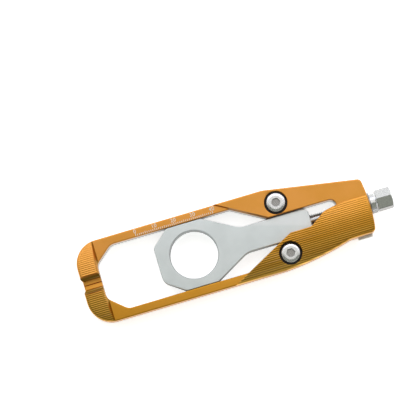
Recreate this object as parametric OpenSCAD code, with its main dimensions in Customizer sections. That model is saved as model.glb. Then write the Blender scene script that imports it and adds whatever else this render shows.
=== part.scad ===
// Motorcycle chain adjuster: a loop frame that lies on the end of a swingarm,
// an axle block that slides in it and a captive screw that moves the block.
// +X points along the screw to its hex head, +Z out of the front face.
// The origin is the axle bore's axis on the plane of the back face.

/* [Axle block] */
// Diameter of the bore for the wheel axle
axle_d = 24; // [18:0.5:25]
// Thickness of the axle block
block_t = 10.6; // [10:0.1:10.7]
// Wall between the bore and the block's rear edge
block_back_wall = 6.7; // [4:0.1:8]
// Length of the upper cut rear corner along the block
block_cut_up = 8.7; // [5:0.1:10]
// Length of the lower cut rear corner along the block
block_cut_low = 10.2; // [7:0.1:11]
// Radius of the upper rear corner
block_rear_r_up = 2.6; // [1:0.1:4]
// Radius of the lower rear corner
block_rear_r_low = 5.5; // [1:0.1:6]
// Chamfer at both ends of the bore
bore_chamfer = 0.4; // [0.2:0.05:0.6]
// Distance from the bore's axis to the start of the flanks
flank_x = 8.1; // [6:0.1:10]
// Angle of the flanks to the arm
flank_angle = 29.2; // [28:0.1:33]
// Width of the block's arm
arm_w = 13; // [12:0.1:14]
// Distance from the bore's axis to the arm's end
arm_end = 60.6; // [58:0.1:64]
// Radius of the arm's end corners
arm_corner_r = 3; // [1:0.1:4]
// Radius between each flank and the arm
flank_blend_r = 9; // [3:0.5:12]

/* [Loop frame] */
// Width of the window that the block slides in
window_w = 33.1; // [32:0.1:34]
// Width of each rail seen from the front
rail_w = 4.4; // [4.2:0.1:6]
// Height of the rails' front face above the back
rail_top = 11; // [11:0.1:12]
// Width of the bar at the rear end
end_bar = 10; // [8:0.1:12]
// Radius of the two rear outer corners
outer_r = 12; // [8:0.5:14]
// Length of the window's cut rear corners
window_cut = 9.1; // [6:0.1:10]
// Angle of the window's cut rear corners
window_cut_angle = 40.5; // [38:0.5:46]
// Radius where the cut corners meet the straight edges
window_r = 5; // [2:0.5:6]
// Start of the upper diagonal edge
diagonal_up_x = 23.1; // [22:0.1:25]
// Start of the lower diagonal edge
diagonal_low_x = 23.5; // [22:0.1:26]
// Angle of the upper diagonal edge
diagonal_up_angle = 29.7; // [28:0.1:33]
// Angle of the lower diagonal edge
diagonal_low_angle = 27.6; // [26:0.1:31]
// Radius of the slot's end corners
slot_r = 3; // [1:0.1:5]

/* [Head] */
// Length of the head beyond the slot
head_len = 15.1; // [13:0.1:17]
// Half height of the head above the screw's axis
head_up = 12.6; // [11:0.1:14]
// Half height of the head below the screw's axis
head_low = 14.7; // [13:0.1:16]
// How far the head's end face bulges
head_bulge = 1.1; // [0.6:0.1:1.5]
// Radius of the head's end corners
head_r = 2.2; // [2:0.1:3]
// Start of the upper edge's taper, before the slot's end
taper_up_back = 33.7; // [32:0.1:40]
// Start of the lower edge's taper, before the slot's end
taper_low_back = 32.9; // [30:0.1:38]
// End of the lower edge's taper, past the slot's end
heel_past = 2.1; // [-1:0.1:3]
// How far the lower taper bulges
heel_bulge = 1; // [0.5:0.1:1.6]
// Rise of the smooth arm above the rails
arm_rise = 1.8; // [1:0.1:2.5]
// Width of the ramp up to the smooth arm
ramp_w = 0.5; // [0.3:0.1:2]

/* [Ribbed band and pads] */
// Height of the band's crest above the back
band_top = 15.5; // [15:0.1:17]
// Radius of the band's arch
band_r = 45; // [40:1:80]
// Position of the band's crest across the frame
band_y = -3.4; // [-5:0.1:-2]
// Height of the end pads' crest above the back
pad_top = 14.5; // [14:0.1:16]
// Radius of the end pads' arch
pad_r = 80; // [75:1:120]
// Distance of the step's foot past the window's rear
step_past = 1; // [0.6:0.1:1.5]
// Lean of the step, along the frame for each millimetre of height
step_lean = 0.57; // [0.3:0.01:0.8]
// Half width of the notch between the end pads
notch_half = 4.6; // [4:0.1:6]
// Half width of the notch's floor
notch_foot = 2.3; // [1.5:0.1:3]
// Depth of the notch below the pads' crest
notch_depth = 2.2; // [1.5:0.1:3]
// Depth of the notch in the end face
notch_end = 0.8; // [0.4:0.1:1.2]
// Distance of the band and the ramp behind the diagonal walls
edge_back = 0.2; // [0.1:0.1:0.6]

/* [Carrier] */
// Thickness of the cover's rim round the carrier
rim_t = 1.8; // [1.5:0.1:2]
// Height of the carrier's rails
carrier_t = 8; // [7:0.1:8.5]
// Height of the carrier's bearing block
bearing_top = 11.6; // [11:0.1:12]
// Length of the locating tab
tab_len = 7.5; // [5:0.1:9]
// Thickness of the locating tab
tab_t = 3; // [2:0.1:4]
// How far the locating tab stands out of the head
tab_out = 1.4; // [0.8:0.1:2]

/* [Adjusting screw] */
// Thread diameter of the adjusting screw
screw_d = 6; // [5:0.5:6]
// Height of the screw's axis above the back
axis_z = 6.2; // [6:0.1:6.4]
// Diameter of the bearing journal
journal_d = 8; // [7.5:0.1:8.5]
// Collar diameter
collar_d = 11.2; // [10:0.1:11.5]
// Collar thickness
collar_t = 3.8; // [2.5:0.1:5]
// Hexagon width across flats
hex_af = 10; // [8:0.5:10]
// Hexagon length
hex_len = 7.9; // [6:0.1:10]
// Travel of the block towards the rear
travel_back = 25.5; // [20:0.5:26]
// Travel of the block towards the head
travel_front = 13.9; // [12:0.1:15]
// Thread left in the arm when the block is furthest back
grip = 7.5; // [6:0.5:8]

/* [Cover screws] */
// Thread diameter of the cover screws
cover_screw_d = 5; // [4:0.5:5]
// Button head diameter
button_d = 9.3; // [9:0.1:10]
// Button head height
button_h = 2.75; // [2.2:0.05:3]
// Height of the button head's rim
button_rim_h = 2.3; // [1:0.05:2.5]
// Diameter of the flat on the button head
button_flat_d = 6.4; // [5:0.1:8]
// Socket width across flats
socket_af = 4; // [3:0.5:4]
// Screw length under the head
cover_screw_len = 10; // [8:0.5:11]
// Distance of both screws before the slot's end
cover_screw_back = 28.6; // [26:0.1:31]
// Distance of each screw from the middle of the frame
cover_screw_y = 13.15; // [12.8:0.05:13.4]
// Outer diameter of the black washers
washer_d = 11.5; // [10.4:0.1:11.8]
// Thickness of the black washers
washer_t = 1; // [0.6:0.1:1.4]

/* [Clearances] */
// Gap between the block and each rail
slide_gap = 0.2; // [0.1:0.01:0.3]
// Gap between the arm and each side of the slot
arm_gap = 0.45; // [0.3:0.05:0.8]
// Radial clearance of the screw in the arm and of its journal
running_gap = 0.05; // [0.03:0.01:0.08]
// Gap round pieces that are dropped into a recess
fit_gap = 0.1; // [0.05:0.01:0.2]

/* [Hidden] */
$fn = 72;
arc_step = 7.5;
past = 1;
end_room = 3.7;
slot_room = 0.4;
hole_floor = 1.3;
cut_up_angle = 42;
cut_low_angle = 35.5;
counterbore_depth = 2.5;
roof_gap = 0.5;

// Plan sizes that follow from the ones above
block_w = window_w - 2 * slide_gap;
block_rear = axle_d / 2 + block_back_wall;
window_rear = -(block_rear + travel_back + end_room);
frame_rear = window_rear - end_bar;
frame_half = window_w / 2 + rail_w;
slot_half = arm_w / 2 + arm_gap;
slot_end = arm_end + travel_front + slot_room;
head_x = slot_end + head_len;
cover_screw_x = slot_end - cover_screw_back;
arm_top = rail_top + arm_rise;
roof_z = block_t + roof_gap;
up_run = 1 / tan(diagonal_up_angle);
low_run = 1 / tan(diagonal_low_angle);

// Stations along the screw
hex_turn = 9;
clip_t = 0.7;
clip_d = 9.3;
clip_groove_d = 4;
pocket_depth = 1.5;
pocket_d = clip_d + 0.7;
clip_x = slot_end + pocket_depth - fit_gap - clip_t;
journal_x = slot_end + pocket_depth;
seat_x = head_x + head_bulge - 0.4;
thrust_t = 0.6;
collar_x = seat_x + thrust_t;
hex_x = collar_x + collar_t;
screw_tip = arm_end - travel_back - grip;
hole_end = axle_d / 2 + hole_floor;
ring_x = (journal_x + seat_x) / 2;
ring_wire = 1;

function flat(p) = [p.x, p.y];
function unit(v) = v / norm(v);
function turned(v, a) = [v.x * cos(a) - v.y * sin(a), v.x * sin(a) + v.y * cos(a)];

// Points of a round corner at b, on the way from a to c
function corner(a, b, c) =
    let (u = unit(flat(a) - flat(b)),
         w = unit(flat(c) - flat(b)),
         half = acos(u * w) / 2,
         centre = flat(b) + unit(u + w) * b.z / sin(half),
         first = flat(b) + u * b.z / tan(half) - centre,
         sweep = -sign(cross(u, w)) * (180 - 2 * half),
         n = ceil(abs(sweep) / arc_step) + 1)
    [for (i = [0:n]) centre + turned(first, sweep * i / n)];

// A closed outline whose points are [x, y, corner radius]
function rounded(p) =
    [for (i = [0:len(p) - 1])
        each p[i].z > 0
            ? corner(p[(i + len(p) - 1) % len(p)], p[i], p[(i + 1) % len(p)])
            : [flat(p[i])]];

// Points between p and q on an arc that bulges to the right of the way
function bulge(p, q, rise, n) =
    let (d = flat(q) - flat(p),
         chord = norm(d),
         r = (chord * chord / 4 + rise * rise) / (2 * rise),
         along = d / chord,
         out = [along.y, -along.x],
         middle = (flat(p) + flat(q)) / 2,
         half = asin(chord / 2 / r))
    [for (i = [1:n - 1])
        let (a = half * (2 * i / n - 1), m = middle + along * r * sin(a) + out * (r * cos(a) - r + rise))
        [m.x, m.y, 0]];

// The same outline moved inwards by d
function inset(p, d) =
    [for (i = [0:len(p) - 1])
        let (u = unit(p[i] - p[(i + len(p) - 1) % len(p)]),
             w = unit(p[(i + 1) % len(p)] - p[i]),
             m = [-u.y, u.x],
             n = [-w.y, w.x])
        p[i] + (m + n) * d / (1 + m * n)];

heel_drop = 0.3;
heel_r = 4;
heel = [slot_end + heel_past, -(head_low + heel_drop), heel_r];
taper_low = [slot_end - taper_low_back, -frame_half, 0];
head_low_corner = [head_x, -head_low, head_r];
head_up_corner = [head_x, head_up, head_r];
taper_up = [slot_end - taper_up_back, frame_half, outer_r];

outline = rounded(concat(
    [[frame_rear, -frame_half, outer_r], taper_low],
    bulge(taper_low, heel, heel_bulge, 12),
    [heel, head_low_corner],
    bulge(head_low_corner, head_up_corner, head_bulge, 8),
    [head_up_corner, taper_up, [frame_rear, frame_half, outer_r]]));

// The window and the slot, from the lower rear corner round
window_half = window_w / 2;
cut_y = window_half - window_cut * tan(window_cut_angle);
diagonal_rise = window_half - slot_half;
bend_r = 1.5;
window = rounded([
    [window_rear, -cut_y, window_r],
    [window_rear + window_cut, -window_half, window_r],
    [diagonal_low_x, -window_half, bend_r],
    [diagonal_low_x + diagonal_rise * low_run, -slot_half, bend_r],
    [slot_end, -slot_half, slot_r],
    [slot_end, slot_half, slot_r],
    [diagonal_up_x + diagonal_rise * up_run, slot_half, bend_r],
    [diagonal_up_x, window_half, bend_r],
    [window_rear + window_cut, window_half, window_r],
    [window_rear, cut_y, window_r]]);

// The ribbed band seen from the front, which runs past the lower and end edges
band_past = 4;
band_foot = frame_half + band_past;
band_edge_x = diagonal_low_x + edge_back / sin(diagonal_low_angle);
band_low_x = band_edge_x - (band_foot - window_half) * low_run;
band_ledge = 3.5;
band_knee_x = band_edge_x + (window_half - band_ledge) * low_run;
band_high = 3.9;
band_level_past = 2.3;
band_shoulder = 2.2;
shoulder_back = 6.9;
band_bend_back = 15.1;
band_area = rounded([
    [band_low_x, -band_foot, 0],
    [head_x + band_past, -band_foot, 0],
    [head_x + band_past, band_high, 0],
    [slot_end + band_level_past, band_high, 30],
    [slot_end - shoulder_back, band_shoulder, 8],
    [slot_end - band_bend_back, -band_ledge, 4],
    [band_knee_x, -band_ledge, 2]]);

module prism(points, low, high) {
    translate([0, 0, low]) linear_extrude(high - low) polygon(points);
}

// A round bar along the screw's axis
module bar(r, x0, x1) {
    translate([x0, 0, axis_z]) rotate([0, 90, 0]) cylinder(r = r, h = x1 - x0);
}

// A body turned about the screw's axis from points [distance along it, radius]
module turned_body(points) {
    translate([0, 0, axis_z]) rotate([0, 90, 0]) rotate_extrude()
        polygon([for (p = points) [p[1], p[0]]]);
}

// Everything below an arch that runs along the frame
module under_arch(r, y, top, x0, x1) {
    translate([x0, y, top - r]) rotate([0, 90, 0]) cylinder(r = r, h = x1 - x0, $fn = 360);
}

// The part of the frame beyond the upper diagonal, with the ramp at its edge
module beyond_ramp() {
    reach = 200;
    intersection() {
        translate([diagonal_up_x, window_half, 0]) rotate([0, 0, -diagonal_up_angle])
            translate([-reach / 2, edge_back, 0]) rotate([90, 0, 90]) linear_extrude(reach)
                polygon([[-ramp_w, 0], [-ramp_w, rail_top - arm_rise], [ramp_w, arm_top], [reach, arm_top],
                    [reach, 0]]);
        translate([0, band_y, -past]) cube([reach, reach, reach]);
    }
}

// The two raised end pads with the sloped step down to the rails
module pads() {
    step_foot = window_rear + step_past;
    intersection() {
        prism(outline, 0, pad_top + past);
        under_arch(pad_r, 0, pad_top, frame_rear - past, step_foot + past);
        translate([0, frame_half + past, 0]) rotate([90, 0, 0]) linear_extrude(2 * (frame_half + past))
            polygon([[frame_rear - past, 0], [step_foot, 0], [step_foot, rail_top],
                [step_foot - (pad_top + past - rail_top) * step_lean, pad_top + past],
                [frame_rear - past, pad_top + past]]);
    }
}

// The notch between the pads, with its shallow trough and centre line
module notch() {
    floor_z = pad_top - notch_depth;
    trough_r = 6;
    trough_half = notch_foot - 0.3;
    mark = 0.35;
    mark_depth = 0.9;
    reach = end_bar + past + step_past + 0.2;
    wall_run = (notch_half - notch_foot) / notch_depth;
    mouth = notch_foot + (notch_depth + past) * wall_run;
    translate([frame_rear - past, 0, 0]) rotate([90, 0, 90])
        linear_extrude(reach) {
            polygon([[-notch_foot, floor_z], [notch_foot, floor_z], [mouth, pad_top + past],
                [-mouth, pad_top + past]]);
            polygon([[-mark, floor_z + past], [-mark, floor_z], [0, floor_z - mark_depth],
                [mark, floor_z], [mark, floor_z + past]]);
        }
    translate([frame_rear - past, 0, floor_z + sqrt(trough_r * trough_r - trough_half * trough_half)])
        rotate([0, 90, 0])
            cylinder(r = trough_r, h = reach, $fn = 180);
    translate([0, 0, -past]) linear_extrude(pad_top + 2 * past)
        polygon([[frame_rear - past, -notch_half - 0.6], [frame_rear + notch_end, -notch_foot],
            [frame_rear + notch_end, notch_foot], [frame_rear - past, notch_half + 0.6]]);
}

module cover_screw_holes(r, low, high) {
    for (side = [-1, 1])
        translate([cover_screw_x, side * cover_screw_y, low]) cylinder(r = r, h = high - low);
}

seat_z = arm_top - counterbore_depth;

module cover() color([0.85, 0.57, 0.23]) {
    difference() {
        union() {
            prism(outline, 0, rail_top);
            intersection() {
                prism(outline, 0, arm_top);
                beyond_ramp();
            }
            intersection() {
                prism(outline, 0, band_top + past);
                prism(band_area, -past, band_top + 2 * past);
                under_arch(band_r, band_y, band_top, 0, head_x + 4);
            }
            pads();
        }
        difference() {
            prism(window, -past, band_top + past);
            intersection() {
                prism(band_area, roof_z, band_top + 3 * past);
                translate([diagonal_low_x, -slot_half - past, 0])
                    cube([head_x, 2 * slot_half + 2 * past, band_top + 2 * past]);
            }
        }
        prism(inset(outline, rim_t), -past, carrier_t);
        intersection() {
            prism(inset(outline, rim_t), -past, bearing_top + fit_gap);
            translate([slot_end - past, -frame_half, -2 * past]) cube([head_len + 4, 2 * frame_half, 30]);
        }
        notch();
        cover_screw_holes(cover_screw_d / 2 + running_gap, 0, band_top);
        cover_screw_holes(washer_d / 2 + fit_gap, seat_z, band_top + past);
        bar(journal_d / 2 + 3 * running_gap, slot_end, head_x + head_bulge + past);
        bar(collar_d / 2 + 0.5, seat_x, head_x + 4);
        translate([head_x - 1.4 - tab_len - fit_gap, -head_low - 3, -past])
            cube([tab_len + 2 * fit_gap, 6, tab_t + fit_gap + past]);
    }
}

module carrier() color([0.76, 0.78, 0.78]) {
    inner = inset(outline, rim_t + fit_gap);
    difference() {
        union() {
            prism(inner, 0, carrier_t);
            intersection() {
                prism(inner, 0, bearing_top);
                translate([slot_end - 0.01, -frame_half, 0]) cube([head_len + 4, 2 * frame_half, 30]);
            }
            translate([head_x - 1.4 - tab_len, -head_low - tab_out, 0]) cube([tab_len, 5, tab_t]);
        }
        prism(window, -past, carrier_t + past);
        bar(journal_d / 2 + running_gap, slot_end - past, head_x + 4);
        bar(pocket_d / 2, slot_end - past, journal_x);
        cover_screw_holes(cover_screw_d / 2 + running_gap, -past, carrier_t + past);
    }
}

module axle_block() color([0.78, 0.8, 0.79]) {
    half = block_w / 2;
    flank_run = (half - arm_w / 2) / tan(flank_angle);
    side_r = 2;
    difference() {
        prism(rounded([
            [-block_rear, -(half - block_cut_low * tan(cut_low_angle)), block_rear_r_low],
            [-block_rear + block_cut_low, -half, side_r],
            [flank_x, -half, bend_r],
            [flank_x + flank_run, -arm_w / 2, flank_blend_r],
            [arm_end, -arm_w / 2, arm_corner_r],
            [arm_end, arm_w / 2, arm_corner_r],
            [flank_x + flank_run, arm_w / 2, flank_blend_r],
            [flank_x, half, bend_r],
            [-block_rear + block_cut_up, half, side_r],
            [-block_rear, half - block_cut_up * tan(cut_up_angle), block_rear_r_up]]), 0, block_t);
        rotate_extrude($fn = 144)
            polygon([[0, -past], [axle_d / 2 + bore_chamfer + past, -past], [axle_d / 2, bore_chamfer],
                [axle_d / 2, block_t - bore_chamfer], [axle_d / 2 + bore_chamfer + past, block_t + past],
                [0, block_t + past]]);
        bar(screw_d / 2 + running_gap, hole_end, arm_end + past);
    }
}

module adjusting_screw() color([0.8, 0.81, 0.82]) {
    r = screw_d / 2;
    tip = 0.8;
    soft = 0.9;
    core_r = collar_d / 2 - 2 * soft;
    chamfer = 0.75;
    union() {
        turned_body([[screw_tip, 0], [screw_tip, r - tip], [screw_tip + tip, r],
            [clip_x - 0.02, r], [clip_x - 0.02, clip_groove_d / 2],
            [clip_x + clip_t + 0.02, clip_groove_d / 2], [clip_x + clip_t + 0.02, r],
            [journal_x, r], [journal_x, journal_d / 2],
            [ring_x - 0.7, journal_d / 2], [ring_x - 0.7, journal_d / 2 - ring_wire],
            [ring_x + 0.7, journal_d / 2 - ring_wire], [ring_x + 0.7, journal_d / 2],
            [collar_x, journal_d / 2], [collar_x, collar_d / 2 - soft / 2],
            [collar_x + soft / 2, collar_d / 2], [hex_x - soft, collar_d / 2],
            [hex_x, collar_d / 2 - soft], [hex_x, 0]]);
        intersection() {
            translate([collar_x + soft, 0, axis_z]) rotate([0, 90, 0]) rotate([0, 0, -hex_turn])
                cylinder(d = hex_af / cos(30), h = hex_x + hex_len - collar_x - soft, $fn = 6);
            turned_body([[collar_x, 0], [collar_x, core_r], [hex_x, core_r],
                [hex_x, hex_af], [hex_x + hex_len - chamfer, hex_af / 2 + soft],
                [hex_x + hex_len, hex_af / 2 - soft / 2], [hex_x + hex_len, 0]]);
        }
    }
}

// An E shaped clip that snaps into the screw's groove
module retaining_clip() color([0.3, 0.31, 0.32]) {
    mouth = clip_groove_d * 0.8;
    translate([clip_x, 0, axis_z]) rotate([0, 90, 0]) difference() {
        cylinder(d = clip_d, h = clip_t);
        translate([0, 0, -past]) cylinder(d = clip_groove_d + fit_gap, h = clip_t + 2 * past);
        translate([0, -mouth / 2, -past]) cube([clip_d, mouth, clip_t + 2 * past]);
        for (side = [-1, 1])
            rotate([0, 0, side * 58]) translate([clip_groove_d / 2 + 0.2, 0, -past])
                cylinder(d = 1.6, h = clip_t + 2 * past);
    }
}

// Rubber ring that keeps the screw from turning by itself
module friction_ring() color([0.08, 0.08, 0.08]) {
    middle = journal_d / 2 - ring_wire / 2 + running_gap / 2;
    translate([ring_x, 0, axis_z]) rotate([0, 90, 0]) rotate_extrude()
        translate([middle, 0]) circle(d = ring_wire - running_gap / 2, $fn = 32);
}

module thrust_washer() color([0.6, 0.6, 0.6]) {
    translate([seat_x, 0, axis_z]) rotate([0, 90, 0]) difference() {
        cylinder(d = collar_d + 0.4, h = thrust_t);
        translate([0, 0, -past]) cylinder(r = journal_d / 2 + 3 * running_gap, h = thrust_t + 2 * past);
    }
}

// Button head screw, drawn with its seat at z = 0
module button_screw() {
    flat_r = button_flat_d / 2;
    head_r2 = button_d / 2;
    drop = (head_r2 * head_r2 + button_rim_h * button_rim_h - flat_r * flat_r - button_h * button_h)
        / (2 * (button_rim_h - button_h));
    dome_r = norm([head_r2, button_rim_h - drop]);
    difference() {
        union() {
            intersection() {
                cylinder(d = button_d, h = button_h);
                translate([0, 0, drop]) sphere(r = dome_r, $fn = 96);
            }
            translate([0, 0, -cover_screw_len]) cylinder(d = cover_screw_d, h = cover_screw_len + 0.1);
        }
        translate([0, 0, button_h - 1.7]) cylinder(d = socket_af / cos(30), h = 3, $fn = 6);
    }
}

module button_washer() {
    difference() {
        cylinder(d = washer_d, h = washer_t);
        translate([0, 0, -past]) cylinder(r = cover_screw_d / 2 + fit_gap, h = washer_t + 2 * past);
    }
}

module cover_screw_upper() color([0.82, 0.83, 0.83])
    translate([cover_screw_x, cover_screw_y, seat_z + washer_t]) button_screw();

module cover_screw_lower() color([0.82, 0.83, 0.83])
    translate([cover_screw_x, -cover_screw_y, seat_z + washer_t]) button_screw();

module screw_washer_upper() color([0.05, 0.05, 0.05])
    translate([cover_screw_x, cover_screw_y, seat_z]) button_washer();

module screw_washer_lower() color([0.05, 0.05, 0.05])
    translate([cover_screw_x, -cover_screw_y, seat_z]) button_washer();

cover();
carrier();
axle_block();
adjusting_screw();
retaining_clip();
friction_ring();
thrust_washer();
cover_screw_upper();
cover_screw_lower();
screw_washer_upper();
screw_washer_lower();
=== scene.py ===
# %% [markdown]
# # A chain adjuster for a motorcycle
# The real object is a milled loop of orange aluminium that lies on the end of a swingarm. A silver block
# slides in it and carries the wheel axle, and a captive screw moves the block. The exact solids come in
# as a fixed frame. This lesson dresses them: it rounds their edges, cuts the fine ribs, turns the thread,
# marks the scale and gives every piece its finish.

# %% Load the frame
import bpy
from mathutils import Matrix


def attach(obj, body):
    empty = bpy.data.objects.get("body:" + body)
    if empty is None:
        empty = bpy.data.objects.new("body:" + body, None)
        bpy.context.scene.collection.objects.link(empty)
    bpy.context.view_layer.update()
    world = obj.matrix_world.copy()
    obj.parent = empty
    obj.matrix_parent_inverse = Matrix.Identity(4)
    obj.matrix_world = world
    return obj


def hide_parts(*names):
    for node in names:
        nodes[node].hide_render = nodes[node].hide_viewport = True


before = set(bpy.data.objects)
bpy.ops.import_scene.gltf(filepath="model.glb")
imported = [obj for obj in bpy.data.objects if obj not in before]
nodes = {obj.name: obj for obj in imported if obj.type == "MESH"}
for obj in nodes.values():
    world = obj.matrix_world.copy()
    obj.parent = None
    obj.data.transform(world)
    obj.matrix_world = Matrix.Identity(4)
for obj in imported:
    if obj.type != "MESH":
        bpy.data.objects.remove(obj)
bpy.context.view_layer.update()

# %% Tools used all through
import bpy
import bmesh
import math
import numpy as np
from mathutils import Matrix, Vector
from mathutils.geometry import delaunay_2d_cdt

MM = 0.001
PAST = 1.0
scene = bpy.context.scene

# %% [markdown]
# ## The camera
# The photograph was taken almost straight down on the part, which lies flat and turned by 16.4 degrees. A
# long lens far away gives the same nearly parallel lines. The camera leans a little towards the lower
# edge of the picture, which is why the inner walls at the top of the window show.

# %% Camera
TURN = math.radians(16.4)
PHOTO_RIGHT = Vector((math.cos(TURN), -math.sin(TURN), 0))
PHOTO_UP = Vector((math.sin(TURN), math.cos(TURN), 0))
AIM_MM = PHOTO_RIGHT * 2.93 + PHOTO_UP * 27.2 + Vector((0, 0, 11))
CAMERA_MM = AIM_MM + PHOTO_RIGHT * 26 - PHOTO_UP * 130 + Vector((0, 0, 1340))


def looking(place, aim, up):
    """The matrix of a camera or a lamp at a place that looks at an aim."""
    back = (place - aim).normalized()
    right = up.cross(back).normalized()
    turn = Matrix((right, back.cross(right), back)).transposed()
    return Matrix.Translation(place) @ turn.to_4x4()


camera = bpy.data.objects.new("camera", bpy.data.cameras.new("camera"))
camera.data.lens = 242.7
camera.data.sensor_width = 36
camera.data.clip_end = 20
camera.matrix_world = looking(CAMERA_MM * MM, AIM_MM * MM, PHOTO_UP)
scene.collection.objects.link(camera)
scene.camera = camera
print("camera at", [round(c, 1) for c in CAMERA_MM], "mm")

# %% [markdown]
# ## Outlines
# The loop's edges are straight lines joined by arcs. Short functions give the points of such an outline,
# the outline moved inwards, and how far points lie inside it. The last one is what rounds every edge of
# the skin later: how far a point lies inside the wall says how far the rounded edge has dropped there.

# %% Outline functions
ARC_STEP = 7.5


def unit(v):
    return v / np.hypot(*v)


def corner(a, b, c, radius):
    """Points of a round corner at b, on the way from a to c."""
    back, ahead = unit(a - b), unit(c - b)
    half = math.acos(back @ ahead) / 2
    centre = b + unit(back + ahead) * radius / math.sin(half)
    first = b + back * radius / math.tan(half) - centre
    sweep = -np.sign(back[0] * ahead[1] - back[1] * ahead[0]) * (math.pi - 2 * half)
    steps = math.ceil(abs(math.degrees(sweep)) / ARC_STEP) + 1
    angles = [sweep * i / steps for i in range(steps + 1)]
    return [centre + np.array([first[0] * math.cos(t) - first[1] * math.sin(t),
                               first[0] * math.sin(t) + first[1] * math.cos(t)]) for t in angles]


def rounded(points):
    """A closed outline from points of x, y and corner radius."""
    flat = [np.array(p[:2], float) for p in points]
    ring = []
    for i, (x, y, radius) in enumerate(points):
        after = flat[(i + 1) % len(flat)]
        ring += corner(flat[i - 1], flat[i], after, radius) if radius else [flat[i]]
    return np.array(ring)


def bulge(p, q, rise, steps):
    """Points between p and q on an arc that bulges to the right of the way."""
    p, q = np.array(p[:2], float), np.array(q[:2], float)
    chord = np.hypot(*(q - p))
    radius = (chord * chord / 4 + rise * rise) / (2 * rise)
    along = (q - p) / chord
    out = np.array([along[1], -along[0]])
    half = math.asin(chord / 2 / radius)
    turns = [half * (2 * i / steps - 1) for i in range(1, steps)]
    points = [(p + q) / 2 + along * radius * math.sin(t) + out * (radius * math.cos(t) - radius + rise)
              for t in turns]
    return [(*point, 0) for point in points]


def inset(ring, distance):
    """The same outline moved inwards."""
    inwards = []
    for way in (ring - np.roll(ring, 1, axis=0), np.roll(ring, -1, axis=0) - ring):
        along = way / np.hypot(*way.T)[:, None]
        inwards.append(np.stack([-along[:, 1], along[:, 0]], axis=1))
    before, after = inwards
    return ring + (before + after) * distance / (1 + (before * after).sum(axis=1))[:, None]


def inside_by(points, ring):
    """How far each point lies inside a closed outline, negative outside it."""
    x, y = points[:, 0], points[:, 1]
    nearest = np.full(len(points), np.inf)
    inside = np.zeros(len(points), bool)
    for p, q in zip(ring, np.roll(ring, -1, axis=0)):
        way = q - p
        share = np.clip(((points - p) @ way) / (way @ way), 0, 1)
        nearest = np.minimum(nearest, np.hypot(*(points - p - share[:, None] * way).T))
        if p[1] != q[1]:
            inside ^= ((p[1] > y) != (q[1] > y)) & (x < (q[0] - p[0]) * (y - p[1]) / (q[1] - p[1]) + p[0])
    return np.where(inside, nearest, -nearest)


# %% Outlines of the loop, in millimetres
RAIL_TOP, ARM_TOP, RAMP_W = 11.0, 12.8, 0.5
BAND_TOP, BAND_R, BAND_Y = 15.5, 45.0, -3.4
PAD_TOP, PAD_R = 14.5, 80.0
WINDOW_HALF, FRAME_HALF, SLOT_HALF = 16.55, 20.95, 6.95
WINDOW_REAR, FRAME_REAR, SLOT_END, HEAD_X = -47.9, -57.9, 74.9, 90.0
UP_X, UP_ANGLE = 23.1, math.radians(29.7)
LOW_X, LOW_ANGLE = 23.5, math.radians(27.6)
EDGE_BACK = 0.2
OUTER_R, HEAD_R, TAPER_RISE, HEAD_RISE = 12, 2.2, 1.0, 1.1
up_run, low_run = 1 / math.tan(UP_ANGLE), 1 / math.tan(LOW_ANGLE)
taper_low, heel = (42, -FRAME_HALF, 0), (77, -15, 4)
head_low, head_up = (HEAD_X, -14.7, HEAD_R), (HEAD_X, 12.6, HEAD_R)

outline = rounded(
    [(FRAME_REAR, -FRAME_HALF, OUTER_R), taper_low, *bulge(taper_low, heel, TAPER_RISE, 12), heel, head_low,
     *bulge(head_low, head_up, HEAD_RISE, 8), head_up, (41.2, FRAME_HALF, OUTER_R),
     (FRAME_REAR, FRAME_HALF, OUTER_R)])
WINDOW_CUT, CUT_ANGLE, CUT_R, FLANK_R, SLOT_R = 9.1, math.radians(40.5), 5, 1.5, 3
cut_y = WINDOW_HALF - WINDOW_CUT * math.tan(CUT_ANGLE)
rise = WINDOW_HALF - SLOT_HALF
window = rounded(
    [(WINDOW_REAR, -cut_y, CUT_R), (WINDOW_REAR + WINDOW_CUT, -WINDOW_HALF, CUT_R),
     (LOW_X, -WINDOW_HALF, FLANK_R), (LOW_X + rise * low_run, -SLOT_HALF, FLANK_R),
     (SLOT_END, -SLOT_HALF, SLOT_R), (SLOT_END, SLOT_HALF, SLOT_R),
     (UP_X + rise * up_run, SLOT_HALF, FLANK_R), (UP_X, WINDOW_HALF, FLANK_R),
     (WINDOW_REAR + WINDOW_CUT, WINDOW_HALF, CUT_R), (WINDOW_REAR, cut_y, CUT_R)])
BAND_LEVEL_Y, BAND_UP_Y, BAND_PAST = -3.5, 3.9, 4
band_foot = FRAME_HALF + BAND_PAST
band_edge_x = LOW_X + EDGE_BACK / math.sin(LOW_ANGLE)
band = rounded(
    [(band_edge_x - (band_foot - WINDOW_HALF) * low_run, -band_foot, 0), (HEAD_X + BAND_PAST, -band_foot, 0),
     (HEAD_X + BAND_PAST, BAND_UP_Y, 0), (SLOT_END + 2.3, BAND_UP_Y, 30), (SLOT_END - 6.9, 2.2, 8),
     (SLOT_END - 15.1, BAND_LEVEL_Y, 4),
     (band_edge_x + (WINDOW_HALF + BAND_LEVEL_Y) * low_run, BAND_LEVEL_Y, 2)])
NOTCH_MOUTH, NOTCH_FOOT, NOTCH_HALF, NOTCH_END = 3.59, 2.3, 4.6, 0.8
rear = [(FRAME_REAR, NOTCH_MOUTH), (FRAME_REAR + NOTCH_END, NOTCH_FOOT),
        (FRAME_REAR + NOTCH_END, -NOTCH_FOOT), (FRAME_REAR, -NOTCH_MOUTH)]
outline_notched = np.vstack([outline, rear])
SCREW_X, SCREW_Y, SEAT_R = 46.3, 13.15, 5.85
seats = [np.array([(SCREW_X + SEAT_R * math.cos(t), side * SCREW_Y + SEAT_R * math.sin(t))
                   for t in np.linspace(0, 2 * math.pi, 97)[:-1]]) for side in (1, -1)]
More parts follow.
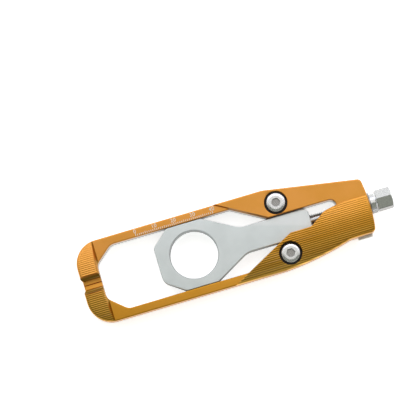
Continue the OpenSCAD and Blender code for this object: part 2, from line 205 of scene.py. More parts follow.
print("outline", len(outline), "points, window", len(window), "points, band", len(band), "points")

# %% [markdown]
# ## The skin of the loop
# Seen from the front the loop is a height field: flat rails, a ramp to the smooth arm, and an arched band
# and two arched end pads that carry straight ribs a millimetre apart. A bevel modifier trips over such a
# mix of arcs and steps, and bump alone would leave the outline of each rib flat. So the heights are
# worked out point by point on a triangulation that has a line wherever the height bends, and a Boolean
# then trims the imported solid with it.

# %% Heights of the skin
RIB_PITCH, RIB_DEPTH = 1.0, 0.09
RIB_SAMPLES, RIB_END = 12, 22
EDGE_R, RAIL_EDGE_R, WINDOW_EDGE, LEDGE_EDGE, SEAT_EDGE = 1.3, 0.5, 0.4, 0.4, 0.15
UNDER = 0.04
WALL = 0.03
PAD_FOOT_X, STEP_LEAN = WINDOW_REAR + 1.0, 0.57
NOTCH_DEPTH = 2.2
NOTCH_FLOOR = PAD_TOP - NOTCH_DEPTH
TROUGH_R, TROUGH_SAG, TROUGH_FOOT = 20.0, 0.343, 2.05
LINE_HALF, LINE_DEPTH = 0.35, 0.9
OUTER_SLOPE = 3


def dropped(distance, radius):
    """How far a rounded edge has dropped at a distance inside its wall. Outside it the slope is steep."""
    reach = np.clip(radius - distance, 0, radius)
    return radius - np.sqrt(radius * radius - reach * reach) + OUTER_SLOPE * np.clip(-distance, 0, None)


def arch(y, middle, top, radius):
    """The height of an arched face whose crest line lies at middle."""
    return top - radius + np.sqrt(radius * radius - (y - middle) ** 2)


def skin_height(points):
    """The height of the loop's front face at each point."""
    x, y = points[:, 0], points[:, 1]
    from_edge = inside_by(points, outline_notched)
    from_window = -inside_by(points, window)
    in_band = inside_by(points, band)
    from_seat = np.minimum(*[-inside_by(points, seat) for seat in seats])
    rib = RIB_DEPTH * (0.5 - 0.5 * np.cos(2 * math.pi * y / RIB_PITCH))
    into_ramp = (x - UP_X) * math.sin(UP_ANGLE) + (y - WINDOW_HALF) * math.cos(UP_ANGLE) - EDGE_BACK
    low = RAIL_TOP + (ARM_TOP - RAIL_TOP) * np.clip(into_ramp / RAMP_W, 0, 1) * (y > BAND_Y)
    low_edge = np.maximum(dropped(from_edge, RAIL_EDGE_R), dropped(from_window, WINDOW_EDGE))
    low = low - low_edge

    crest = arch(y, BAND_Y, BAND_TOP, BAND_R)
    high = np.minimum(crest - rib, crest - dropped(from_edge, EDGE_R))
    high = np.minimum(high, crest - dropped(in_band, LEDGE_EDGE) - rib)

    pad = arch(y, 0, PAD_TOP, PAD_R)
    raised = np.minimum(pad - rib, pad - dropped(from_edge, EDGE_R))
    raised = np.minimum(raised, pad - dropped(from_window, WINDOW_EDGE))
    raised = np.minimum(raised, RAIL_TOP + (PAD_FOOT_X - x) / STEP_LEAN)
    away = np.abs(y)
    near = np.clip(away, None, NOTCH_HALF)
    trough = NOTCH_FLOOR - TROUGH_SAG + TROUGH_R - np.sqrt(TROUGH_R ** 2 - near ** 2)
    trough = np.minimum(trough, NOTCH_FLOOR - LINE_DEPTH + LINE_DEPTH / LINE_HALF * away)
    wall = NOTCH_FLOOR + (away - NOTCH_FOOT) * NOTCH_DEPTH / (NOTCH_HALF - NOTCH_FOOT)
    notch = np.maximum(trough, wall) - dropped(from_edge, RAIL_EDGE_R)
    raised = np.minimum(raised, notch)

    height = np.where(in_band > -WALL / 2, high, low)
    height = np.where(x < PAD_FOOT_X + 1e-6, raised, height)
    return height - dropped(from_seat, SEAT_EDGE) - UNDER


# %% Lines where the skin bends
class Drawing:
    """Points and lines for one triangulation."""

    def __init__(self):
        self.points, self.lines = [], []

    def ring(self, ring):
        first = len(self.points)
        self.points += [tuple(p) for p in ring]
        self.lines += [(first + i, first + (i + 1) % len(ring)) for i in range(len(ring))]

    def line(self, *points):
        first = len(self.points)
        self.points += points
        self.lines += [(first + i, first + i + 1) for i in range(len(points) - 1)]


def crossing_x(ring, y):
    """Where a level line crosses an outline."""
    found = []
    for p, q in zip(ring, np.roll(ring, -1, axis=0)):
        if (p[1] > y) != (q[1] > y):
            found.append(p[0] + (q[0] - p[0]) * (y - p[1]) / (q[1] - p[1]))
    return sorted(found)


drawing = Drawing()
domain = inset(outline_notched, -0.6)
drawing.ring(domain)
for share in (0, 0.01, 0.04, 0.1, 0.2, 0.34, 0.5, 0.72, 1):
    drawing.ring(inset(outline_notched, share * EDGE_R))
for distance in (0.1, 0, -0.03, -0.12, -0.25, -WINDOW_EDGE):
    drawing.ring(inset(window, distance))
for distance in (-WALL, 0, 0.03, 0.1, 0.22, LEDGE_EDGE):
    drawing.ring(inset(band, distance))
for seat in seats:
    for distance in (0.1, 0, -0.02, -0.07, -SEAT_EDGE):
        drawing.ring(inset(seat, distance))
for back in (EDGE_BACK, EDGE_BACK + RAMP_W):
    foot = (UP_X + back / math.sin(UP_ANGLE), WINDOW_HALF)
    drawing.line((foot[0] - 12 * up_run, foot[1] + 12), (foot[0] + 30 * up_run, foot[1] - 30))
for x in (PAD_FOOT_X, PAD_FOOT_X + WALL, PAD_FOOT_X - 0.3, PAD_FOOT_X - 0.74, WINDOW_REAR):
    drawing.line((x, -FRAME_HALF - PAST), (x, FRAME_HALF + PAST))
for deeper in (0, RIB_DEPTH):
    drawing.line(*[(PAD_FOOT_X - STEP_LEAN * (arch(y, 0, PAD_TOP, PAD_R) - deeper - RAIL_TOP), y)
                   for y in np.linspace(-FRAME_HALF, FRAME_HALF, 41)])
for y in (0, 0.12, 0.24, LINE_HALF, 0.6, 0.9, 1.3, 1.7, TROUGH_FOOT, 2.4, 2.8, 3.3, 3.8, 4.2, NOTCH_HALF):
    for side in (-1, 1):
        drawing.line((FRAME_REAR - PAST, side * y), (PAD_FOOT_X, side * y))
step = RIB_PITCH / RIB_SAMPLES
last = math.ceil(RIB_END / step)
levels = np.arange(-last, last + 1) * step
for y in levels:
    if abs(y) > NOTCH_HALF:
        drawing.line((FRAME_REAR - PAST, y), (PAD_FOOT_X, y))
    if y < BAND_UP_Y - 0.05:
        drawing.line((crossing_x(band, y)[0] - WALL * 0.7, y), (HEAD_X + 3, y))
print("drawing:", len(drawing.points), "points and", len(drawing.lines), "lines")


# %% The skin as a closed block
def mesh_piece(name, vertices, faces):
    """An object from vertices in millimetres."""
    mesh = bpy.data.meshes.new(name)
    mesh.from_pydata([(x * MM, y * MM, z * MM) for x, y, z in vertices], [], faces)
    mesh.validate()
    piece = bpy.data.objects.new(name, mesh)
    scene.collection.objects.link(piece)
    return piece


def skin_block():
    """The skin with a flat floor far below it and walls between them."""
    found = delaunay_2d_cdt([Vector(p) for p in drawing.points], drawing.lines, [], 0, 1e-4)
    flat = np.array([tuple(v) for v in found[0]])
    triangles = np.array([f for f in found[2] if len(f) == 3])
    keep = inside_by(flat[triangles].mean(axis=1), domain) > 0
    triangles = triangles[keep]
    a, b, c = (flat[triangles[:, i]] for i in range(3))
    turn = (b[:, 0] - a[:, 0]) * (c[:, 1] - a[:, 1]) - (b[:, 1] - a[:, 1]) * (c[:, 0] - a[:, 0])
    triangles[turn < 0] = triangles[turn < 0][:, ::-1]
    used, triangles = np.unique(triangles, return_inverse=True)
    triangles = triangles.reshape(-1, 3)
    flat = flat[used]
    top = np.column_stack([flat, skin_height(flat)])
    floor = np.column_stack([flat, np.full(len(flat), -5.0)])
    edges = {}
    for t in triangles:
        for p, q in ((t[0], t[1]), (t[1], t[2]), (t[2], t[0])):
            edges[(p, q)] = edges.get((p, q), 0) + 1
    rim = [(p, q) for p, q in edges if (q, p) not in edges]
    count = len(flat)
    faces = [tuple(map(int, t)) for t in triangles]
    faces += [tuple(int(v) + count for v in t[::-1]) for t in triangles]
    faces += [(int(q), int(p), int(p) + count, int(q) + count) for p, q in rim]
    return mesh_piece("skin_block", np.vstack([top, floor]), faces)


skin = skin_block()
print("skin:", len(skin.data.polygons), "faces")


# %% Copies of the solids as clean meshes
def welded(node, name):
    """A copy of a solid whose faces share their corners again."""
    mesh = nodes[node].data.copy()
    mesh.name = name
    net = bmesh.new()
    net.from_mesh(mesh)
    bmesh.ops.remove_doubles(net, verts=net.verts, dist=5e-7)
    bmesh.ops.dissolve_degenerate(net, dist=1e-7, edges=net.edges)
    net.to_mesh(mesh)
    net.free()
    for attribute in ("custom_normal", "sharp_edge", "sharp_face"):
        if attribute in mesh.attributes:
            mesh.attributes.remove(mesh.attributes[attribute])
    mesh.materials.clear()
    piece = bpy.data.objects.new(name, mesh)
    scene.collection.objects.link(piece)
    return piece


def applied(piece):
    """The piece's modifiers become its mesh."""
    shaped = bpy.data.meshes.new_from_object(piece.evaluated_get(bpy.context.evaluated_depsgraph_get()))
    piece.modifiers.clear()
    piece.data = shaped


def combined(piece, other, operation):
    """A Boolean between two closed meshes, applied at once."""
    tool = piece.modifiers.new("cut", "BOOLEAN")
    tool.operation = operation
    tool.object = other
    tool.solver = "MANIFOLD"
    applied(piece)
    bpy.data.objects.remove(other)
    return piece


def creased(piece, limit):
    """Smooth shading that breaks at sharp edges and keeps large faces flat. Gives back the open edges."""
    net = bmesh.new()
    net.from_mesh(piece.data)
    for face in net.faces:
        face.smooth = True
    for edge in net.edges:
        edge.smooth = edge.calc_face_angle(0) < math.radians(limit)
    loose = sum(1 for edge in net.edges if len(edge.link_faces) != 2)
    net.to_mesh(piece.data)
    net.free()
    weighted = piece.modifiers.new("weighted", "WEIGHTED_NORMAL")
    weighted.keep_sharp = True
    weighted.weight = 60
    applied(piece)
    return loose


cover_shell = combined(welded("cover", "cover_shell"), skin, "INTERSECT")
loose = creased(cover_shell, 33)
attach(cover_shell, "frame")
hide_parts("cover")
print("loop:", len(cover_shell.data.polygons), "faces,", loose, "open edges")

# %% [markdown]
# ## Softened edges on the other pieces
# No machined part has perfectly sharp edges, and it is the thin bright line along an edge that makes
# metal look real. Each solid is copied, its flat faces are joined again, and a bevel goes round every
# edge that turns sharply. The copy then stands for the solid.


# %% Bevelled copies
def edged(node, body, width, segments=2, limit=30):
    """A copy of a solid with softened edges, which stands for it."""
    piece = welded(node, node + "_edged")
    net = bmesh.new()
    net.from_mesh(piece.data)
    bmesh.ops.dissolve_limit(net, angle_limit=math.radians(0.5), verts=net.verts, edges=net.edges)
    sharp = [edge for edge in net.edges if len(edge.link_faces) == 2
             and edge.calc_face_angle() > math.radians(limit)]
    bmesh.ops.bevel(net, geom=sharp, offset=width * MM, segments=segments, profile=0.5, affect="EDGES",
                    clamp_overlap=True)
    net.to_mesh(piece.data)
    net.free()
    creased(piece, 35)
    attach(piece, body)
    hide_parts(node)
    return piece


axle_block = edged("axle_block", "block", 0.45, 3, 50)
carrier = edged("carrier", "frame", 0.25)
clip = edged("retaining_clip", "screw", 0.06)
thrust = edged("thrust_washer", "frame", 0.08)
cover_screws = [edged(name, "frame", 0.14, 3)
                for name in ("cover_screw_upper", "cover_screw_lower")]
rings = [edged(name, "frame", 0.2, 3)
         for name in ("screw_washer_upper", "screw_washer_lower")]
for piece in (axle_block, carrier, clip, thrust, *cover_screws, *rings):
    print(piece.name, len(piece.data.polygons), "faces")

# %% [markdown]
# ## The adjusting screw
# The screw's head end keeps the solid's journal, collar and hexagon. The rod gets a real M6 thread, a
# millimetre of pitch: rings of points along the rod whose radius falls and rises with the distance along
# it and the angle round it, which is what a right hand thread is. It matches the coupling, a millimetre
# for each turn.

# %% Head end of the screw
AXIS_Z = 6.2
JOURNAL_X = 76.4
ROD_TIP, ROD_R, THREAD_DEPTH, THREAD_PITCH = 27.6, 3.0, 0.6, 1.0
TIP_CUT, NECK_CUT = 0.7, 0.62
CLIP_X, CLIP_T, CLIP_GROOVE_R = 75.6, 0.7, 2.0

screw_head = edged("adjusting_screw", "screw", 0.12)
net = bmesh.new()
net.from_mesh(screw_head.data)
bmesh.ops.bisect_plane(net, geom=net.verts[:] + net.edges[:] + net.faces[:],
                       plane_co=(JOURNAL_X * MM + 2e-5, 0, 0), plane_no=(1, 0, 0), clear_inner=True)
rim = [edge for edge in net.edges if len(edge.link_faces) == 1]
bmesh.ops.holes_fill(net, edges=rim, sides=0)
net.to_mesh(screw_head.data)
net.free()
open_edges = creased(screw_head, 35)
print("screw head:", len(screw_head.data.polygons), "faces,", open_edges, "open edges")

# %% Threaded rod
THREAD_STEP = THREAD_PITCH / 8
THREAD_FROM, THREAD_TO = ROD_TIP + 0.2, CLIP_X - 1.4
CREST_END, ROOT_END, FLANK_SHARE = 0.06, 0.58, 0.36
SHANK_R, CLIP_ROOM = ROD_R - 0.02, 0.02
ROUND = 40


def thread_radius(x, angle):
    """The radius of the thread at a distance along the rod and an angle round it."""
    phase = (x / THREAD_PITCH - angle / (2 * math.pi)) % 1
    fallen = min(max((phase - CREST_END) / FLANK_SHARE, 0), 1)
    risen = min(max((phase - ROOT_END) / FLANK_SHARE, 0), 1)
    return ROD_R - THREAD_DEPTH * (fallen - risen)


stations = [(ROD_TIP, 0, 0), (ROD_TIP, ROD_R - TIP_CUT - 0.1, 0), (ROD_TIP + 0.1, ROD_R - TIP_CUT, 0)]
count = int((THREAD_TO - THREAD_FROM) / THREAD_STEP)
stations += [(THREAD_FROM + i * THREAD_STEP, ROD_R, 1) for i in range(count)]
stations += [(CLIP_X - 1.2, ROD_R - NECK_CUT, 0), (CLIP_X - 0.9, ROD_R - NECK_CUT, 0),
             (CLIP_X - 0.6, SHANK_R, 0),
             (CLIP_X - CLIP_ROOM, SHANK_R, 0), (CLIP_X - CLIP_ROOM, CLIP_GROOVE_R, 0),
             (CLIP_X + CLIP_T + CLIP_ROOM, CLIP_GROOVE_R, 0), (CLIP_X + CLIP_T + CLIP_ROOM, ROD_R, 0),
             (JOURNAL_X, ROD_R, 0), (JOURNAL_X, 0, 0)]
vertices, faces = [], []
for x, radius, threaded in stations:
    for k in range(ROUND if radius else 1):
        angle = 2 * math.pi * k / ROUND
        r = min(radius, ROD_R - TIP_CUT + (x - ROD_TIP)) if threaded else radius
        r = min(r, thread_radius(x, angle)) if threaded else r
        vertices.append((x, r * math.cos(angle), AXIS_Z + r * math.sin(angle)))
first = 0
for (_, here, _), (_, there, _) in zip(stations, stations[1:]):
    after = first + (ROUND if here else 1)
    for k in range(ROUND):
        beside = (k + 1) % ROUND
        if not here:
            faces.append((first, after + k, after + beside))
        elif not there:
            faces.append((first + k, after, first + beside))
        else:
            faces.append((first + k, after + k, after + beside, first + beside))
    first = after
rod = mesh_piece("threaded_rod", vertices, faces)
net = bmesh.new()
net.from_mesh(rod.data)
bmesh.ops.recalc_face_normals(net, faces=net.faces)
net.to_mesh(rod.data)
net.free()
open_edges = creased(rod, 30)
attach(rod, "screw")
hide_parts("adjusting_screw")
print("rod:", len(faces), "faces,", open_edges, "open edges")

# %% [markdown]
# ## The scale
# A scale of forty millimetres is engraved on the upper rail, with a number at every ten. The marks are
# inlaid as thin plates that lie in the rail and stand a hair above it, because a mark half a pixel wide
# would be lost in bump.

# %% Marks and numbers
SCALE_ZERO_X, SCALE_STEP, SCALE_MARKS, MARK_W = -25.3, 1.0, 41, 0.3
MARK_FOOT_Y, NUMBER_Y = 17.02, 18.55
TEN_MARK, FIVE_MARK, SHORT_MARK = 1.4, 1.2, 0.95
MARK_TOP, MARK_T = RAIL_TOP - 0.015, 0.15
marks, mark_faces = [], []


def plate(x0, y0, x1, y1, soften=0.06):
    """Adds a thin plate with cut corners to the marks."""
    ring = [(x0 + soften, y0), (x1 - soften, y0), (x1, y0 + soften), (x1, y1 - soften),
            (x1 - soften, y1), (x0 + soften, y1), (x0, y1 - soften), (x0, y0 + soften)]
    base = len(marks)
    marks.extend([(x, y, MARK_TOP - MARK_T) for x, y in ring] + [(x, y, MARK_TOP) for x, y in ring])
    mark_faces.append(tuple(base + i for i in range(7, -1, -1)))
    mark_faces.append(tuple(base + 8 + i for i in range(8)))
    for i in range(8):
        beside = (i + 1) % 8
        mark_faces.append((base + i, base + beside, base + 8 + beside, base + 8 + i))


for i in range(SCALE_MARKS):
    length = TEN_MARK if i % 10 == 0 else FIVE_MARK if i % 5 == 0 else SHORT_MARK
    x = SCALE_ZERO_X + i * SCALE_STEP
    plate(x - MARK_W / 2, MARK_FOOT_Y, x + MARK_W / 2, MARK_FOOT_Y + length)
scale_marks = mesh_piece("scale_marks", marks, mark_faces)
creased(scale_marks, 30)
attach(scale_marks, "frame")

NUMBER_HEIGHT, FONT_SHARE, THICKER = 1.9, 1.42, 0.012
numbers = []
for tens in range(5):
    letter = bpy.data.curves.new("number", "FONT")
    letter.body = str(10 * tens)
    letter.size = NUMBER_HEIGHT * FONT_SHARE * MM
    letter.extrude = MARK_T / 2 * MM
    letter.offset = THICKER * MM
    letter.space_character = 1.1
    letter.align_x = "CENTER"
    drawn = bpy.data.objects.new("number", letter)
    scene.collection.objects.link(drawn)
    shaped = bpy.data.meshes.new_from_object(drawn.evaluated_get(bpy.context.evaluated_depsgraph_get()))
    bpy.data.objects.remove(drawn)
    number = bpy.data.objects.new(f"scale_number_{10 * tens}", shaped)
    shaped.transform(Matrix.Translation(
        ((SCALE_ZERO_X + 10 * tens * SCALE_STEP) * MM, NUMBER_Y * MM, (MARK_TOP - MARK_T / 2) * MM)))
    scene.collection.objects.link(number)
    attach(number, "frame")
    numbers.append(number)
print("scale:", SCALE_MARKS, "marks and", len(numbers), "numbers")

# %% [markdown]
# ## Writing finishes as expressions
# A finish is a network of nodes, but it reads more easily as a sum. The class below wraps one socket of a
# node, and its operators add the Math nodes. Any other node comes from one method, which takes the type,
# the settings and the values of its sockets.


# %% Sockets with arithmetic
class Wire:
    """A socket of a finish, on which sums can be written."""

    def __init__(self, finish, socket):
        self.finish, self.socket = finish, socket

    def reckon(self, operation, *values):
        return self.finish.node("ShaderNodeMath", {"operation": operation}, dict(enumerate(values)))

    def __add__(self, other):
        return self.reckon("ADD", self, other)

    __radd__ = __add__

    def __mul__(self, other):
        return self.reckon("MULTIPLY", self, other)

    __rmul__ = __mul__

    def __sub__(self, other):
        return self.reckon("SUBTRACT", self, other)

    def __rsub__(self, other):
        return self.reckon("SUBTRACT", other, self)

    def __abs__(self):
        return self.reckon("ABSOLUTE", self)

    def cosine(self):
        return self.reckon("COSINE", self)

    def between(self, low, high):
        """0 below low, 1 above high and a smooth rise between them."""
        settings = {"clamp": True, "interpolation_type": "SMOOTHSTEP"}
        return self.finish.node("ShaderNodeMapRange", settings, {0: self, 1: low, 2: high})

    def times(self, x, y, z):
        """A vector stretched along each axis."""
        return self.finish.node("ShaderNodeVectorMath", {"operation": "MULTIPLY"}, {0: self, 1: (x, y, z)})

    def part(self, axis):
        return self.finish.node("ShaderNodeSeparateXYZ", {}, {0: self}, axis)


class Finish:
    """A material around one shader, whose constants are set on the shader's own sockets."""

    def __init__(self, name, **constants):
        self.material = bpy.data.materials.new(name)
        self.material.use_nodes = True
        self.tree = self.material.node_tree
        self.tree.nodes.clear()
        end = self.tree.nodes.new("ShaderNodeOutputMaterial")
        self.shader = self.tree.nodes.new("ShaderNodeBsdfPrincipled")
        self.tree.links.new(self.shader.outputs[0], end.inputs[0])
        for socket, value in constants.items():
            self.shader.inputs[socket.replace("_", " ")].default_value = value
        place = self.node("ShaderNodeTexCoord", {}, {}, "Object")
        self.place = self.node("ShaderNodeVectorMath", {"operation": "SCALE"}, {0: place, 3: 1000.0})

    def node(self, kind, settings, values, output=0):
        made = self.tree.nodes.new(kind)
        for name, value in settings.items():
            setattr(made, name, value)
        for name, value in values.items():
            if isinstance(value, Wire):
                self.tree.links.new(value.socket, made.inputs[name])
            else:
                made.inputs[name].default_value = value
        return Wire(self, made.outputs[output])

    def noise(self, scale, detail=2, stretch=(1, 1, 1)):
        """Noise with a grain of about 1 / scale millimetres."""
        return self.node("ShaderNodeTexNoise", {"noise_dimensions": "3D"},
                         {"Vector": self.place.times(*stretch), "Scale": scale, "Detail": detail})

    def mixed(self, share, first, second):
        """A colour between two others."""
        first, second = ((c if isinstance(c, Wire) else (*c, 1)) for c in (first, second))
        return self.node("ShaderNodeMix", {"data_type": "RGBA"}, {0: share, 6: first, 7: second}, 2)

    def edges(self, low, high):
        """1 on outward edges, 0 on flat ground and on the upright walls."""
        pointed = self.node("ShaderNodeNewGeometry", {}, {}, "Pointiness")
        return pointed.between(low, high) * (1 - self.walls())

    def walls(self):
        """1 on upright walls and 0 on the faces that the light from above reaches."""
        lean = abs(self.node("ShaderNodeNewGeometry", {}, {}, "Normal").part(2))
        return 1 - lean.between(0.05, 0.35)

    def bump(self, height, distance, strength):
        """A bump whose height is in millimetres."""
        return self.node("ShaderNodeBump", {},
                         {"Strength": strength, "Distance": distance * MM, "Height": height})

    def set(self, **wires):
        for socket, wire in wires.items():
            self.tree.links.new(wire.socket, self.shader.inputs[socket.replace("_", " ")])

    def wear(self, *objects):
        for piece in objects:
            piece.data.materials.clear()
            piece.data.materials.append(self.material)
        print(self.material.name, "on", ", ".join(piece.name for piece in objects))


# %% [markdown]
# ## The orange
# The dye isn't even from place to place. Towards the rail with the scale the orange is a little redder and
# lighter, and towards the other one darker and more olive, which is painted shade on the side that the light
# from above the picture reaches less. The ribs carry painted light and shade: their crests are painted
# lighter and their grooves darker, in step with how the ribs face the light. The notch's walls and the foot
# of the step carry painted shade, and edges are worn. The upright walls are painted darker, as painted shade
# where less light from above reaches them.

# %% Orange anodised aluminium
orange = Finish("orange_anodised_aluminium", Metallic=1.0, Specular_IOR_Level=0.5)
x, y, z = (orange.place.part(axis) for axis in range(3))
cloud = orange.noise(0.06, 3)
grain = orange.noise(2.2, 3)
milled = orange.noise(1.6, 2, (0.08, 1, 1))
# upper and lower are lit and shaded copies of the orange: the lower one is painted shade for the side away
# from the light
upper = orange.mixed(cloud.between(0.3, 0.7), (0.71, 0.315, 0.060), (0.77, 0.343, 0.080))
lower = orange.mixed(cloud.between(0.3, 0.7), (0.68, 0.315, 0.030), (0.73, 0.340, 0.042))
tint = orange.mixed(y.between(-18, 16), lower, upper)
tint = orange.mixed(grain * 0.25, tint, (0.60, 0.27, 0.036))
# Painted light and shade on the ribs: crests painted lighter as a painted highlight, grooves painted darker
# as painted shade
groove = 0.5 - 0.5 * ((y - 0.15) * (2 * math.pi / RIB_PITCH)).cosine()
low_side = 1 - y.between(-12, -10)
over_arm = z.between(ARM_TOP + 0.04, ARM_TOP + 0.2)
over_rail = low_side * z.between(RAIL_TOP, RAIL_TOP + 0.2)
ribbed = (1 - (1 - over_arm) * (1 - over_rail)) * (1 - orange.walls())
at_rear = 1 - x.between(PAD_FOOT_X, PAD_FOOT_X + 1)
painted_groove_shade = 0.75 - 0.5 * y.between(-14, 8) - 0.15 * x.between(60, 80) + at_rear * (0.25 - 0.4 * y.between(-12, 4))
band = low_side * x.between(12, 16) * (0.2 + 0.6 * (1 - y.between(-19.5, -15.5)))
crest = (at_rear * (1 - y.between(-12, 2)) * 0.34 + band) * (1 - groove) * ribbed
tint = orange.mixed(groove * ribbed * painted_groove_shade, tint, (0.34, 0.17, 0.012))
tint = orange.mixed(crest, tint, (0.95, 0.61, 0.14))
away = abs(y)
# Painted shade on the notch's walls
painted_notch_shade = away.between(NOTCH_FOOT - 0.5, NOTCH_FOOT + 0.6) * (1 - away.between(NOTCH_HALF - 0.8, NOTCH_HALF))
painted_notch_shade = painted_notch_shade * at_rear * z.between(NOTCH_FLOOR - 0.5, NOTCH_FLOOR - 0.1)
# Painted shade at the foot of the step
painted_step_shade = x.between(PAD_FOOT_X - 1.1, PAD_FOOT_X - 0.5) * (1 - x.between(PAD_FOOT_X, PAD_FOOT_X + 0.2))
painted_step_shade = painted_step_shade * z.between(RAIL_TOP - 0.1, RAIL_TOP + 0.05)
tint = orange.mixed(painted_notch_shade * 0.85, tint, (0.22, 0.125, 0.012))
tint = orange.mixed(painted_step_shade * 0.8, tint, (0.26, 0.16, 0.012))
# Painted shade on the upright walls
tint = orange.mixed(orange.walls() * 0.5, tint, (0.42, 0.19, 0.022))
worn = orange.edges(0.53, 0.62)
orange.set(Base_Color=orange.mixed(worn * 0.3, tint, (0.93, 0.62, 0.32)),
           Roughness=0.29 + 0.1 * grain - 0.05 * milled,
           Normal=orange.bump(grain * 0.6 + milled * 0.6, 0.03, 0.6))
orange.wear(cover_shell)

# %% [markdown]
# ## The two silvers
# The carrier is satin aluminium with fine lines along it, and the block was blasted to a matt, even
# grain. The same noise makes both: stretched along X it gives lines, and left as it is it gives grain.
# The tab that shows below the head is painted paler, as painted light where it lies in the head's shade, and
# the upright walls of both are painted darker as painted shade.

# %% Satin silver of the carrier
TAB_X, TAB_Y = 79, -14.8
silver = Finish("satin_silver_aluminium", Metallic=1.0)
grain = silver.noise(2.5, 3)
brushed = silver.noise(1.8, 2, (0.06, 1, 1))
x, y = silver.place.part(0), silver.place.part(1)
# Painted light on the tab, which lies in the head's shade
tab = x.between(TAB_X, TAB_X + 1) * (1 - y.between(TAB_Y, TAB_Y + 0.2))
satin = silver.mixed(grain.between(0.35, 0.65), (0.58, 0.565, 0.53), (0.64, 0.625, 0.59))
# Painted shade on the upright walls
satin = silver.mixed(silver.walls() * 0.4, satin, (0.34, 0.33, 0.31))
silver.set(Base_Color=silver.mixed(tab, satin, (0.84, 0.82, 0.78)),
           Roughness=0.34 + 0.12 * brushed,
           Normal=silver.bump(grain * 0.5 + brushed * 0.5, 0.03, 0.5))
silver.wear(carrier)

# %% Blasted silver of the axle block
blasted = Finish("blasted_block_aluminium", Metallic=1.0)
grain = blasted.noise(4.5, 4)
cloud = blasted.noise(0.09, 2)
bright = blasted.edges(0.52, 0.6)
tone = blasted.mixed(cloud.between(0.3, 0.7), (0.695, 0.745, 0.74), (0.745, 0.795, 0.79))
# Painted shade on the upright walls of the block
tone = blasted.mixed(blasted.walls() * 0.75, tone, (0.18, 0.185, 0.185))
blasted.set(Base_Color=blasted.mixed(bright * 0.6, tone, (0.86, 0.88, 0.88)),
            Roughness=0.4 + 0.16 * grain,
            Normal=blasted.bump(grain, 0.025, 0.7))
blasted.wear(axle_block)

# %% [markdown]
# ## The steel pieces
# Steel differs in its finish: bright plating on the adjusting screw, oil on the clip, fine grinding on the
# washer, and plain stainless steel on the cover screws. The flat of the screw's hexagon that faces the lower
# edge of the picture at rest is painted dark as painted shade, and the sockets of the cover screws are
# painted darker as painted shade.

# %% Plated steel of the adjusting screw
HEX_TURN, FLAT_FROM, FLAT_TO = math.radians(9), 4.6, 4.9
plated = Finish("plated_screw_steel", Metallic=1.0)
grain = plated.noise(1.4, 3)
turned = plated.noise(3.0, 2, (1, 0.05, 0.05))
y, z = plated.place.part(1), plated.place.part(2)
chrome = plated.mixed(grain.between(0.3, 0.7), (0.70, 0.71, 0.71), (0.80, 0.81, 0.80))
# Painted shade on the hexagon's flat that faces down in the picture at rest
painted_flat_shade = ((z - AXIS_Z) * math.sin(HEX_TURN) - y * math.cos(HEX_TURN)).between(FLAT_FROM, FLAT_TO)
plated.set(Base_Color=plated.mixed(painted_flat_shade, chrome, (0.34, 0.34, 0.335)),
           Roughness=0.16 + 0.12 * grain,
           Normal=plated.bump(turned, 0.01, 0.5))
plated.wear(screw_head, rod)

# %% Dark oiled steel of the clip
oiled = Finish("oiled_clip_steel", Metallic=1.0)
grain = oiled.noise(1.8, 3)
oiled.set(Base_Color=oiled.mixed(grain.between(0.3, 0.7), (0.16, 0.16, 0.165), (0.26, 0.26, 0.265)),
          Roughness=0.28 + 0.2 * grain,
          Normal=oiled.bump(grain, 0.02, 0.6))
oiled.wear(clip)

# %% Ground steel of the thrust washer
ground = Finish("ground_washer_steel", Metallic=1.0)
grain = ground.noise(3.0, 3)
ground.set(Base_Color=ground.mixed(grain.between(0.3, 0.7), (0.40, 0.40, 0.41), (0.52, 0.52, 0.53)),
           Roughness=0.25 + 0.15 * grain,
           Normal=ground.bump(grain, 0.012, 0.5))
ground.wear(thrust)

# %% Stainless cover screws
SOCKET_R = 2.0
stainless = Finish("stainless_screw_steel", Metallic=1.0)
grain = stainless.noise(2.6, 3)
x, y = stainless.place.part(0), stainless.place.part(1)
along, across = x - SCREW_X, abs(y) - SCREW_Y
# Painted shade in the sockets
from_axis = (along * along + across * across).between(SOCKET_R ** 2, 1.2 * SOCKET_R ** 2)
metal = stainless.mixed(grain.between(0.3, 0.7), (0.66, 0.67, 0.68), (0.78, 0.79, 0.79))
stainless.set(Base_Color=stainless.mixed(from_axis, (0.34, 0.335, 0.33), metal),
              Roughness=0.2 + 0.14 * grain,
              Normal=stainless.bump(grain, 0.012, 0.5))
stainless.wear(*cover_screws)

# %% [markdown]
# ## Black rings and pale paint
# The rings round the cover screws are black nylon, and the ring on the screw's journal is rubber, which
# is duller. The marks and numbers of the scale look as pale as old paint. None of these is metal, so each
# is one dark or light colour with a grain that breaks up what it reflects.

# %% Black nylon rings and the rubber ring
nylon = Finish("black_ring_nylon", Metallic=0.0, Specular_IOR_Level=0.4)
grain = nylon.noise(3.5, 4)
nylon.set(Base_Color=nylon.mixed(grain.between(0.3, 0.7), (0.010, 0.010, 0.011), (0.022, 0.022, 0.023)),
          Roughness=0.42 + 0.2 * grain,
          Normal=nylon.bump(grain, 0.02, 0.6))
nylon.wear(*rings)
rubber = Finish("black_ring_rubber", Metallic=0.0, Specular_IOR_Level=0.3)
grain = rubber.noise(5.0, 4)
rubber.set(Base_Color=rubber.mixed(grain.between(0.3, 0.7), (0.008, 0.008, 0.008), (0.02, 0.02, 0.02)),
           Roughness=0.6 + 0.2 * grain,
           Normal=rubber.bump(grain, 0.02, 0.6))
rubber.wear(nodes["friction_ring"])

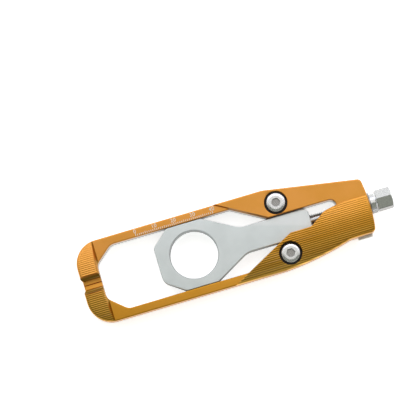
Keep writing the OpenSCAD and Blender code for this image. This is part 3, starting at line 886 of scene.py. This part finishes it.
# %% Pale paint in the engraved scale
paint = Finish("pale_scale_paint", Metallic=0.0)
grain = paint.noise(4.0, 3)
paint.set(Base_Color=paint.mixed(grain.between(0.3, 0.7), (0.80, 0.76, 0.66), (0.92, 0.89, 0.80)),
          Roughness=0.5 + 0.2 * grain,
          Normal=paint.bump(grain, 0.01, 0.4))
paint.wear(scale_marks, *numbers)
print(len(bpy.data.materials), "finishes")

# %% [markdown]
# ## Floor and light
# The part lies on a plain white table in a tent of soft panels. The ceiling is brightest beyond the upper
# edge of the picture and dim near the lower edge, so faces that lean up in the picture shine and faces
# that lean down go darker. The walls of the tent light the steep edges.

# %% Floor
TABLE_HALF, TABLE_Z = 1500, -0.02
table_corners = [(x * TABLE_HALF, y * TABLE_HALF, TABLE_Z) for x, y in ((-1, -1), (1, -1), (1, 1), (-1, 1))]
floor = mesh_piece("table", table_corners, [(0, 1, 2, 3)])
white = Finish("white_table", Metallic=0.0, Specular_IOR_Level=0.2, Emission_Color=(1, 1, 1, 1),
               Emission_Strength=0.72)
grain = white.noise(0.2, 2)
white.set(Base_Color=white.mixed(grain, (0.93, 0.93, 0.93), (0.95, 0.95, 0.95)),
          Roughness=0.7 + 0.1 * grain)
white.wear(floor)


# %% Lamps
LEFT_WALL, RIGHT_WALL, NEAR_WALL, FAR_WALL, CEILING = -700, 700, -700, 900, 420
TENT_WIDTH, TENT_DEPTH = RIGHT_WALL - LEFT_WALL, FAR_WALL - NEAR_WALL
TENT_MIDDLE = (NEAR_WALL + FAR_WALL) / 2


def panel(name, right, up, height, facing, width, depth, glow, tint=(1, 1, 1)):
    """A soft lamp at a place near the part. The glow is the brightness of its face."""
    place = AIM_MM + PHOTO_RIGHT * right + PHOTO_UP * up + Vector((0, 0, height))
    data = bpy.data.lights.new(name, "AREA")
    data.shape = "RECTANGLE"
    data.size, data.size_y = width * MM, depth * MM
    data.energy = glow * math.pi * data.size * data.size_y
    data.color = tint
    lamp = bpy.data.objects.new(name, data)
    upright = PHOTO_UP if facing.z else Vector((0, 0, 1))
    lamp.matrix_world = looking(place * MM, (place + facing) * MM, upright)
    scene.collection.objects.link(lamp)


DOWN = Vector((0, 0, -1))
ceilings = [("near_ceiling", NEAR_WALL, -170, 0.27, (0.99, 1.04, 0.88)),
            ("dim_ceiling", -170, -46, 0.15, (0.99, 1.04, 0.88)),
            ("middle_ceiling", -46, 120, 1.0, (1, 0.98, 0.93)),
            ("inner_ceiling", 120, 230, 0.84, (1, 1, 1.05)),
            ("key_ceiling", 230, 400, 2.6, (1, 1, 1.1)),
            ("far_ceiling", 400, FAR_WALL, 0.87, (1, 1, 1.05))]
for name, near, far, glow, tint in ceilings:
    panel(name, 0, (near + far) / 2, CEILING, DOWN, TENT_WIDTH, far - near, glow, tint)
tent_walls = [("far_wall", 0, FAR_WALL, -PHOTO_UP, TENT_WIDTH, 0.9),
              ("near_wall", 0, NEAR_WALL, PHOTO_UP, TENT_WIDTH, 0.32),
              ("left_wall", LEFT_WALL, TENT_MIDDLE, PHOTO_RIGHT, TENT_DEPTH, 0.5),
              ("right_wall", RIGHT_WALL, TENT_MIDDLE, -PHOTO_RIGHT, TENT_DEPTH, 0.25)]
for name, right, up, facing, width, glow in tent_walls:
    panel(name, right, up, CEILING / 2, facing, width, CEILING, glow)

# %% World and colours
world = bpy.data.worlds.new("studio")
world.use_nodes = True
world.node_tree.nodes["Background"].inputs[0].default_value = (1.0, 1.0, 1.0, 1.0)
world.node_tree.nodes["Background"].inputs[1].default_value = 0.03
scene.world = world
scene.view_settings.view_transform = "Standard"
scene.view_settings.look = "None"
